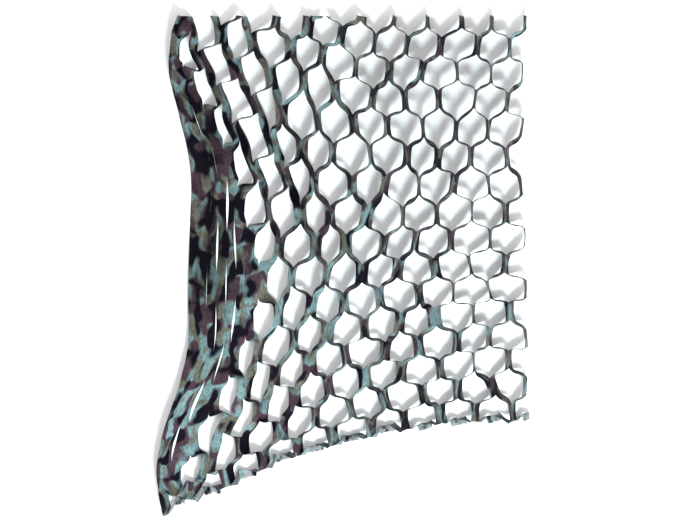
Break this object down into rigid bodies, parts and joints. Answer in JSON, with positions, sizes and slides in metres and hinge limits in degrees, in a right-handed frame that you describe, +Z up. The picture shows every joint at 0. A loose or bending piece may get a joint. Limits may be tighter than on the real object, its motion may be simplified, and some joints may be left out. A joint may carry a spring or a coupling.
{
  "type": "camouflage net",
  "caption": "Camouflage net of thin printed sheet, cut with staggered slits and drawn open into a honeycomb, gathered shut along its left side and lying face up.",
  "frame": {"origin": "centre of the bounding box in plan, on the surface the net lies on", "axes": "+Z up, out of the printed face; +Y towards the straight trimmed edge, along the slits; +X across the slits, from the gathered side to the open side"},
  "size_m": [0.7414, 0.995, 0.0633],
  "materials": {
    "printed_sheet": "four-colour woodland print in black, brown, olive and grey green on a thin, faintly shiny sheet, a little paler on its back"
  },
  "bodies": {
    "root": {"net": "printed_sheet"}
  },
  "joints": []
}
